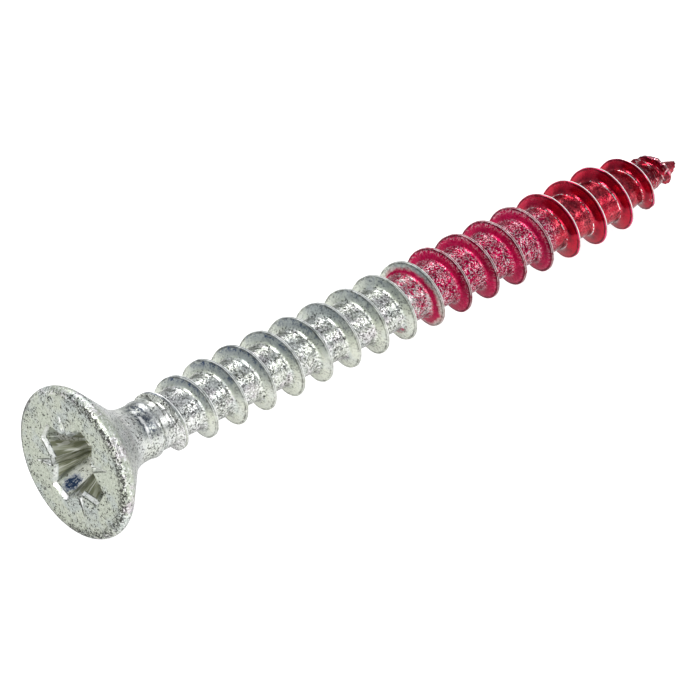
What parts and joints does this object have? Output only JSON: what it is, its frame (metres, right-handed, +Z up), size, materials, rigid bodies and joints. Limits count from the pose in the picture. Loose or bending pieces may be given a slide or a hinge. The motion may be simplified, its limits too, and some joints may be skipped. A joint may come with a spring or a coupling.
{
  "type": "multi-purpose screw",
  "caption": "Countersunk multi-purpose wood screw with a cross recess, full-length thread, zinc finish and a red lacquered front half.",
  "frame": {"origin": "on the resting surface, below the middle of the screw's length as it lies", "axes": "+X from the head towards the point, +Z up; the screw lies on the rim of its head and on its thread near the point, so its own axis leans 3.5 degrees down towards the point"},
  "size_m": [0.0404, 0.0078, 0.0078],
  "materials": {
    "zinc_plated_steel": "satin zinc with fine dark specks; clear red lacquer from the middle of the thread to the point"
  },
  "bodies": {
    "root": {"screw": "zinc_plated_steel"}
  },
  "joints": []
}
